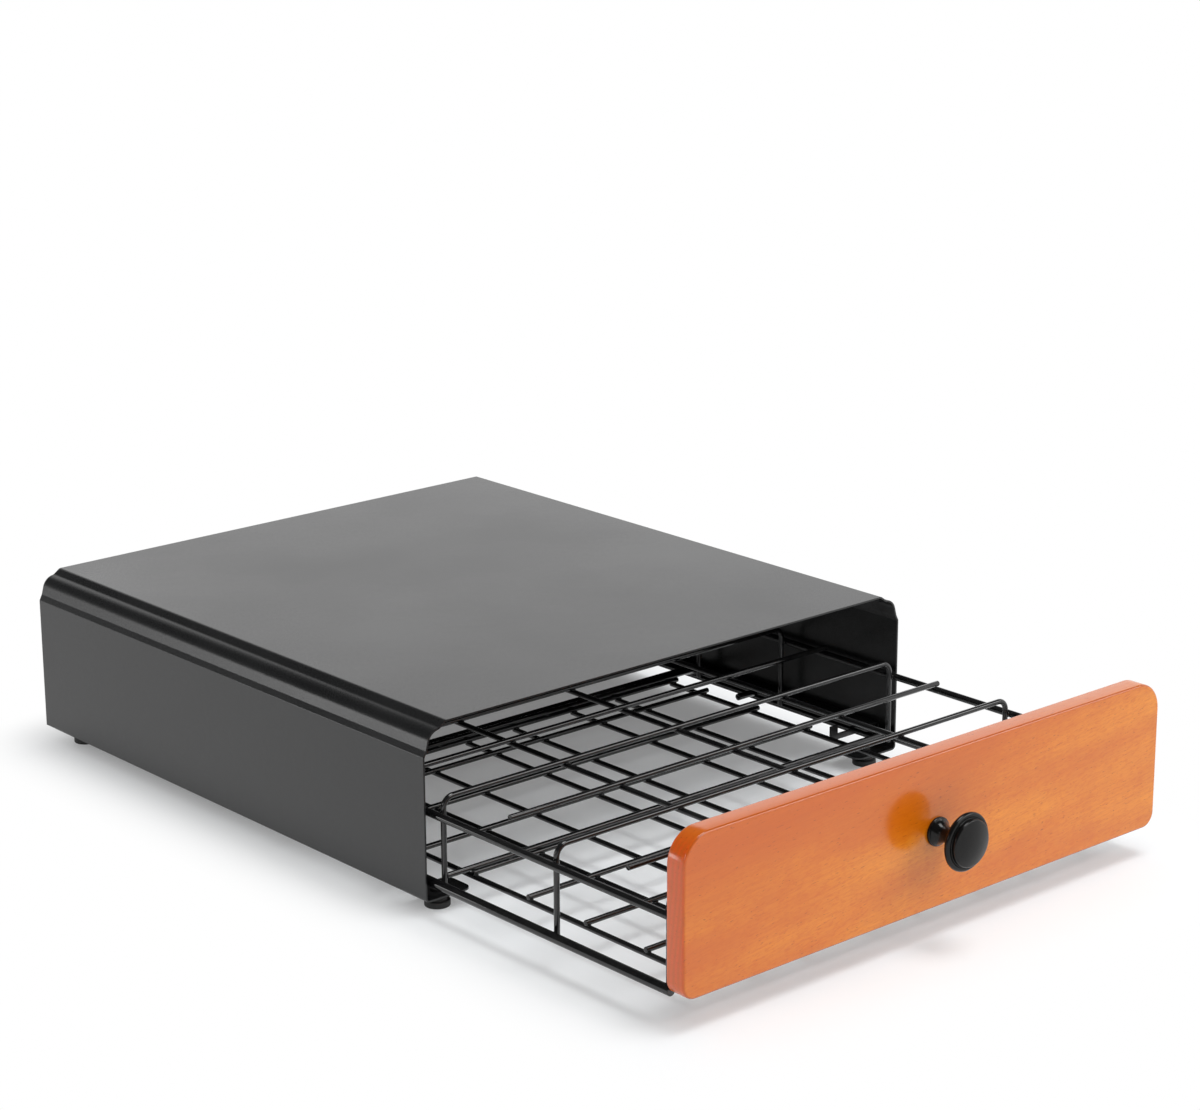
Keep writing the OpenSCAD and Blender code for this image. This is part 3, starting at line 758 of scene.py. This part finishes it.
def board_ring(inset, y):
    """The board's outline at one depth, drawn in by an inset."""
    top_x, top_z = BOARD_HALF_W - BOARD_TOP_R, BOARD_HIGH_Z - BOARD_TOP_R
    low_x, low_z = BOARD_HALF_W - BOARD_LOW_R, BOARD_LOW_Z + BOARD_LOW_R
    outline = (
        arc((top_x, top_z), BOARD_TOP_R - inset, 0, 90, 18)
        + arc((-top_x, top_z), BOARD_TOP_R - inset, 90, 180, 18)
        + arc((-low_x, low_z), BOARD_LOW_R - inset, 180, 270, 18)
        + arc((low_x, low_z), BOARD_LOW_R - inset, 270, 360, 18)
    )
    return [(x, y, z) for x, z in outline]


def front_board():
    """A slab with rounded edges.

    A narrow flat ring inside each rounding keeps its faces flat in the light.
    """
    edge = [(BOARD_EDGE_R - up, BOARD_EDGE_R - out) for out, up in arc((0, 0), BOARD_EDGE_R, 0, 90, 7)]
    rings = (
        [board_ring(BOARD_EDGE_R + FACE_RING, BOARD_FRONT_Y)]
        + [board_ring(inset, BOARD_FRONT_Y + depth) for inset, depth in edge]
        + [board_ring(inset, BOARD_BACK_Y - depth) for inset, depth in reversed(edge)]
        + [board_ring(BOARD_EDGE_R + FACE_RING, BOARD_BACK_Y)]
    )
    board = smooth(linked("wooden_front", skinned(rings)), CRISP_ANGLE)
    piece(board, "board_wood", "drawer", "front_board")


def knob():
    """The turned knob. Its outline is in radius and height above the board."""
    seat_h, length = 0.05, BOARD_FRONT_Y - corners("knob")[0][Y]
    base_r, base_low_r, base_high_r, base_straight_h = 7.5, 0.3, 0.9, 0.95
    waist_r, waist_h, neck_r, hollow_r = 4, 8, 8.24, 7.128
    rim_centre, rim_r = (13.4, 19.0), 1.6
    groove_centre, groove_r = (12.52, 20.74), 0.35
    shoulder_centre, shoulder_r = (10.97, 21.96), 1.2
    dome_r, dome_rise, dome_steps = 11.35, 1.9, 12
    outline = (
        [(0, seat_h), (base_r - base_low_r, seat_h)]
        + arc((base_r - base_low_r, seat_h + base_low_r), base_low_r, -90, 0)
        + arc((base_r - base_high_r, base_straight_h), base_high_r, 0, 80, 8)
        + arc((waist_r + neck_r, waist_h), neck_r, 227, 182, 14)
        + arc((waist_r + hollow_r, waist_h), hollow_r, 180, 117.3, 16)
        + arc(rim_centre, rim_r, -62.7, 116.8, 24)
        + arc(groove_centre, groove_r, 296.8, 180, 6)
        + arc(shoulder_centre, shoulder_r, 0, 71.5, 9)
    )
    for k in range(1, dome_steps + 1):
        out = 1 - k / dome_steps
        outline.append((dome_r * out, length - dome_rise * out ** 2))
    solid = turned(outline, (0, BOARD_FRONT_Y, KNOB_Z), (0, -1, 0), sides=96)
    piece(smooth(linked("turned_knob", solid), SOFT_ANGLE), "knob_enamel", "drawer", "knob")


# ---------------------------------------------------------------- brackets and screws


def screw_places(side):
    """Where a bracket's two screws stand, on the plate's face away from the board."""
    inset = 8
    low, high = corners(f"board_bracket_{side}")
    return [((low[X] + high[X]) / 2, high[Y], z) for z in (low[Z] + inset, high[Z] - inset)]


def bracket(side):
    """A flat plate with two screw holes, welded between the rails."""
    hole_r = 2
    plate = linked(f"bracket_plate_{side}", block(*corners(f"board_bracket_{side}")))
    holes = [bore(hole_r, place, (0, 1, 0), sides=40) for place in screw_places(side)]
    combined(plate, holes, "DIFFERENCE")
    piece(bevelled(plate, SMALL_ROUND), "basket_wire", "drawer", f"board_bracket_{side}")


def screw_heads(name, node, places, radius, height, slots):
    """Domed heads with one slot or a cross, each lying on a face that looks towards +Y."""
    rim_h, slot_half_w, slot_depth = height / 4, 0.45, 1.1
    slot_half_l = radius * 0.68
    quarter = arc((0, 0), 1, 0, 90, steps=10)
    dome = [(radius * out, rim_h + (height - rim_h) * up) for out, up in quarter]
    outline = [(0, 0), (radius, 0)] + dome
    heads = linked(name, *(turned(outline, place, (0, 1, 0), sides=48) for place in places))
    cutters = []
    for x, y, z in places:
        for dx, dz in ((slot_half_l, slot_half_w), (slot_half_w, slot_half_l))[:slots]:
            low = (x - dx, y + height - slot_depth, z - dz)
            high = (x + dx, y + height + CUT, z + dz)
            cutters.append(linked("slot", block(low, high)))
    piece(smooth(combined(heads, cutters, "DIFFERENCE"), CRISP_ANGLE), "screw_zinc", "drawer", node)


# ---------------------------------------------------------------- basket wires


def wire_piece(name, node, wires, welds=()):
    """A piece made of wires, each (path, radius), with its welds, each (centre, radii)."""
    solids = [tube(path, radius) for path, radius in wires]
    solids += [nugget(centre, radii, k + len(name)) for k, (centre, radii) in enumerate(welds)]
    piece(smooth(linked(name, *solids), SOFT_ANGLE), "basket_wire", "drawer", node)


def rail(name, node, radius):
    """A rail bent round both sides and the rear, with its ends on the board."""
    low, high = corners(node)
    x, rear_y, z = high[X] - radius, high[Y] - radius, low[Z] + radius
    path = rounded([(-x, low[Y], z), (-x, rear_y, z), (x, rear_y, z), (x, low[Y], z)], RAIL_BEND_R)
    wire_piece(name, node, [(path, radius)])


def hoops():
    """Five hoops whose legs stand inside the rails."""
    for place, y in HOOP_YS.items():
        legs = [(-LEG_X, y, LEG_LOW_Z), (-LEG_X, y, HOOP_Z), (LEG_X, y, HOOP_Z), (LEG_X, y, LEG_LOW_Z)]
        welds = [
            ((side * RAIL_INNER_X, y, z), radii)
            for side in (-1, 1)
            for z, radii in ((LOW_Z, LOW_RAIL_WELD), (UP_Z, UP_RAIL_WELD))
        ]
        wire_piece(f"bent_hoop_{place}", f"hoop_{place}", [(rounded(legs, HOOP_BEND_R), WIRE_R)], welds)


def cross_wires(reach, z, ys):
    """Straight wires from side to side."""
    return [([(-reach, y, z), (reach, y, z)], WIRE_R) for y in ys]


def long_wires(node, xs, z):
    """Straight wires from front to rear, as long as a CAD node."""
    low, high = corners(node)
    return [([(x, low[Y], z), (x, high[Y], z)], WIRE_R) for x in xs]


def upper_wires():
    """The short cross wires between the hoops, and the dividers between the columns of pods."""
    middle_ys = STATION_YS[::2]
    reach = corners("middle_cross_wires")[1][X]
    wire_piece("short_cross_wires", "middle_cross_wires", cross_wires(reach, HOOP_Z, middle_ys))
    for place in ("left", "centre", "right"):
        node = f"divider_wire_{place}"
        x, z = middle(node, X), corners(node)[0][Z] + WIRE_R
        welds = [((x, y, (z + HOOP_Z) / 2), DIVIDER_WELD) for y in (*HOOP_YS.values(), *middle_ys)]
        wire_piece(f"long_divider_{place}", node, long_wires(node, [x], z), welds)


def floor_wires():
    """The bearers, the cross wires under them and the two wires under each column of pods."""
    bearer_z = corners("bearer_wires")[0][Z] + WIRE_R
    (_, _, floor_low_z), (floor_reach, _, _) = corners("floor_cross_wires")
    floor_z = floor_low_z + WIRE_R
    column_nodes = [f"floor_wires_column_{column}" for column in COLUMNS]

    welds = [((side * LEG_INNER_X, y, bearer_z), BEARER_END_WELD) for side in (-1, 1) for y in BEARER_YS]
    welds += [
        ((middle(node, X), y, (bearer_z + floor_z) / 2), BEARER_WELD)
        for node in column_nodes
        for y in BEARER_YS
    ]
    wire_piece("floor_bearers", "bearer_wires", cross_wires(LEG_INNER_X, bearer_z, BEARER_YS), welds)
    wire_piece("floor_cross", "floor_cross_wires", cross_wires(floor_reach, floor_z, FLOOR_YS))
    for column, node in zip(COLUMNS, column_nodes):
        low, high = corners(node)
        xs, z = (low[X] + WIRE_R, high[X] - WIRE_R), low[Z] + WIRE_R
        welds = [((x, y, (z + floor_z) / 2), CRADLE_WELD) for x in xs for y in FLOOR_YS]
        wire_piece(f"cradle_{column}", node, long_wires(node, xs, z), welds)


def stop_fingers():
    """Stubs on the lower rail that meet the drawer stops."""
    tip_x = corners("stop_finger_right")[0][X]
    y = middle("stop_finger_right", Y)
    for place, side in (("left", -1), ("right", 1)):
        root = (side * RAIL_INNER_X, y, LOW_Z)
        wires = [([(side * tip_x, y, LOW_Z), root], FINGER_R)]
        wire_piece(f"stub_{place}", f"stop_finger_{place}", wires, [(root, FINGER_WELD)])


# ---------------------------------------------------------------- all the pieces

housing_shell()
rear_panel()
guide_channels()
drawer_stops()
feet()
front_board()
knob()
for bracket_side in ("left", "right"):
    bracket(bracket_side)
screw_heads("wood_screw_heads", "board_screws", screw_places("left") + screw_places("right"),
            radius=3.5, height=2.2, slots=2)
screw_heads("knob_screw_head", "knob_screw", [(0, BOARD_BACK_Y, KNOB_Z)],
            radius=4, height=3, slots=1)
rail("bent_lower_rail", "lower_rail", LOW_R)
rail("bent_upper_rail", "upper_rail", UP_R)
hoops()
upper_wires()
floor_wires()
stop_fingers()

# ---------------------------------------------------------------- floor, light and camera, in metres

FLOOR_R, FLOOR_SIDES = 9, 64
FLOOR_NEAR_WHITE = 0.2
FLOOR_FADE = 0.075
SHADOW_HALF_W = 0.15
SHADOW_HALF_L = -BOARD_FRONT_Y * MM

SKY_LIGHT, SKY_HIGH = 0.45, 0.08
SKY_LEAN = -0.3
SKY_FADE = (0.2, 0.42)

# Each soft lamp's place, width, height and brightness of its face
SOFTBOXES = {
    "overhead": ((0.3, -0.6, 2.15), 0.9, 0.9, 9.0),
    "left": ((-2.4, 0.1, 0.85), 0.9, 0.6, 3.5),
    "back_left": ((-2.0, 1.85, 0.25), 0.7, 0.4, 3.7),
    "back": ((0.45, 1.95, 1.0), 0.9, 0.6, 0.6),
    "back_right": ((1.72, 1.78, 0.8), 1.8, 0.9, 0.22),
    "front": ((1.25, -1.75, 1.45), 2.2, 0.8, 4.6),
}

CAMERA_PLACE = (-1.03496, -1.19178, 0.59845)
CAMERA_TURN = (73.8146, 0.2398, -41.3348)
CAMERA_LENS, CAMERA_SENSOR_W, CAMERA_REACH = 91.276, 36, 50


def studio_floor():
    """Pale matt floor that turns to plain white away from the object.

    Only rays that show it to the camera, also by way of gloss or glass, see the white.
    """
    n = Surface("floor")
    x, y, _ = n.axes(n.place)
    beside = n.add(n.math("ABSOLUTE", x), -SHADOW_HALF_W)
    before = n.add(n.math("ABSOLUTE", y), -SHADOW_HALF_L)
    away = n.vector(n.math("MAXIMUM", beside), n.math("MAXIMUM", before))
    distance = n.put(n.node("ShaderNodeVectorMath", operation="LENGTH"), Vector=away).outputs["Value"]
    white = n.fade(distance, 0.0, FLOOR_FADE, FLOOR_NEAR_WHITE, 1.0)
    path = n.node("ShaderNodeLightPath").outputs
    seen = n.math("MAXIMUM", path["Is Camera Ray"], path["Is Glossy Ray"])
    seen = n.math("MAXIMUM", seen, path["Is Transmission Ray"])
    blend = n.put(n.node("ShaderNodeMixShader"), Fac=n.times(seen, white))
    n.finish(Base_Color=(0.90, 0.93, 0.95), Roughness=0.6, IOR=1.3)
    n.feed(blend.inputs[1], n.shader.outputs["BSDF"])
    n.feed(blend.inputs[2], n.node("ShaderNodeEmission").outputs["Emission"])
    n.put(n.tree.nodes["Material Output"], Surface=blend.outputs["Shader"])
    rim = circle(Vector(), Vector((1, 0, 0)), Vector((0, 1, 0)), FLOOR_R / MM, FLOOR_SIDES)
    disc = linked("studio_floor", (rim, [tuple(range(FLOOR_SIDES))]))
    disc.data.materials.append(n.material)


def studio_world():
    """White to the camera and an even light on the object.

    Gloss shows it as a white horizon, lower on the left, under a dark ceiling.
    """
    world = bpy.data.worlds.new("studio")
    bpy.context.scene.world = world
    n = Nodes(world)
    path = n.node("ShaderNodeLightPath").outputs
    x, _, z = n.axes(n.node("ShaderNodeTexCoord").outputs["Generated"])
    ceiling = n.fade(n.add(n.times(x, SKY_LEAN), z), *SKY_FADE, 1.0, SKY_HIGH)
    unseen = n.mix(path["Is Glossy Ray"], SKY_LIGHT, ceiling, "FLOAT")
    seen = n.math("MAXIMUM", path["Is Camera Ray"], path["Is Transmission Ray"])
    strength = n.mix(seen, unseen, 1.0, "FLOAT")
    n.put(n.tree.nodes["Background"], Color=(1, 1, 1), Strength=strength)


def softbox(name, place, width, height, radiance):
    """A rectangular soft lamp that looks at the object."""
    data = bpy.data.lights.new(name, "AREA")
    data.shape = "RECTANGLE"
    data.size = width
    data.size_y = height
    data.energy = radiance * math.pi * width * height
    lamp = bpy.data.objects.new(name, data)
    bpy.context.scene.collection.objects.link(lamp)
    lamp.location = place
    lamp.rotation_euler = (-Vector(place)).to_track_quat("-Z", "Y").to_euler()
    lamp.visible_camera = False


def photo_camera():
    """The camera at the photograph's angle."""
    data = bpy.data.cameras.new("camera")
    data.sensor_width = CAMERA_SENSOR_W
    data.lens = CAMERA_LENS
    data.clip_end = CAMERA_REACH
    camera = bpy.data.objects.new("camera", data)
    camera.location = CAMERA_PLACE
    camera.rotation_euler = [math.radians(a) for a in CAMERA_TURN]
    bpy.context.scene.collection.objects.link(camera)
    bpy.context.scene.camera = camera


studio_floor()
studio_world()
for lamp_name, lamp_settings in SOFTBOXES.items():
    softbox(lamp_name, *lamp_settings)
photo_camera()
bpy.context.scene.view_settings.view_transform = "Standard"
